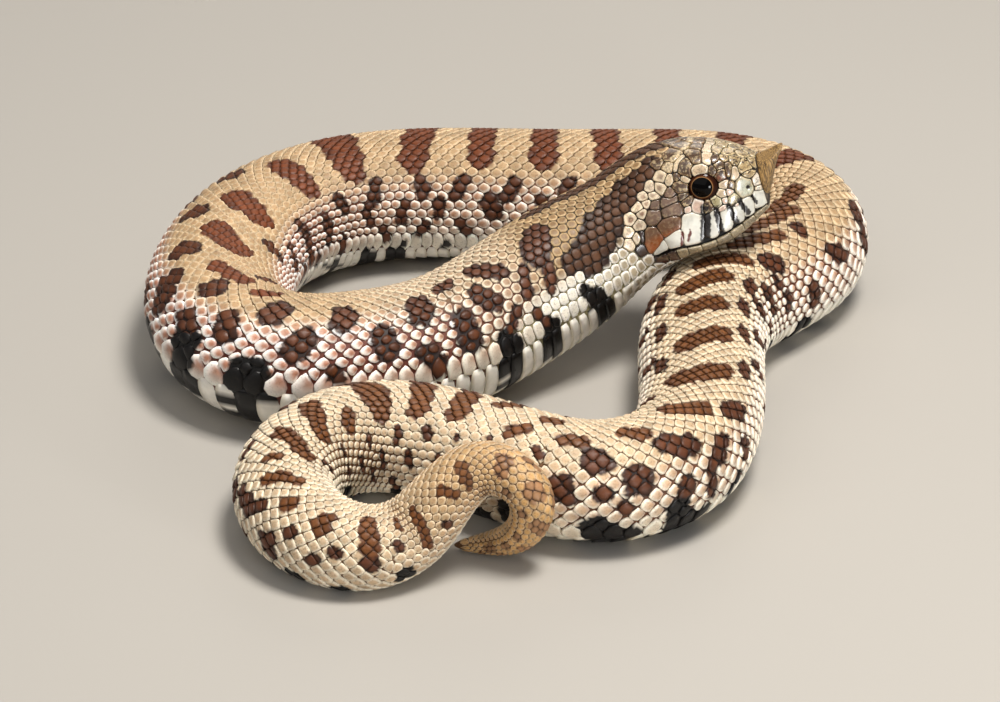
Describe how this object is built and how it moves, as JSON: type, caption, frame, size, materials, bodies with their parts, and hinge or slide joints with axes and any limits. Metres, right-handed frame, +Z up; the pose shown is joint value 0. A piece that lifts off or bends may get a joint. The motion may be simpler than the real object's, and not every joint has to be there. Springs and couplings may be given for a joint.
{
  "type": "coiled hognose snake",
  "caption": "Western hognose snake resting in a loose coil, head raised over a loop, snout upturned, tail curled in a small hook.",
  "frame": {"origin": "centre of the bounding box on the floor plane, under the belly", "axes": "+Z up; +X the way the head points across the coil; -Y towards the side where the tail lies"},
  "size_m": [0.1198, 0.1232, 0.0376],
  "materials": {
    "patterned_scales": "keeled scales, tan with dark brown saddles, satin",
    "pale_scales": "smooth cream scales, satin",
    "horn": "worn keratin plate, satin",
    "eye": "clear glossy spectacle over a dark eye"
  },
  "bodies": {
    "root": {"eye_left": "eye", "eye_right": "eye", "head": "patterned_scales", "lower_jaw": "pale_scales", "neck_01": "patterned_scales", "neck_02": "patterned_scales", "rostral_scale": "horn", "tail_01": "patterned_scales", "tail_02": "patterned_scales", "tail_03": "patterned_scales", "tail_04": "patterned_scales", "tail_05": "patterned_scales", "tail_06": "patterned_scales", "tail_07": "patterned_scales", "tail_08": "patterned_scales", "tail_09": "patterned_scales", "tail_10": "patterned_scales", "trunk_01": "patterned_scales", "trunk_02": "patterned_scales", "trunk_03": "patterned_scales", "trunk_04": "patterned_scales", "trunk_05": "patterned_scales", "trunk_06": "patterned_scales", "trunk_07": "patterned_scales", "trunk_08": "patterned_scales", "trunk_09": "patterned_scales", "trunk_10": "patterned_scales", "trunk_11": "patterned_scales", "trunk_12": "patterned_scales", "trunk_13": "patterned_scales", "trunk_14": "patterned_scales", "trunk_15": "patterned_scales", "trunk_16": "patterned_scales", "trunk_17": "patterned_scales", "trunk_18": "patterned_scales", "trunk_19": "patterned_scales"}
  },
  "joints": []
}
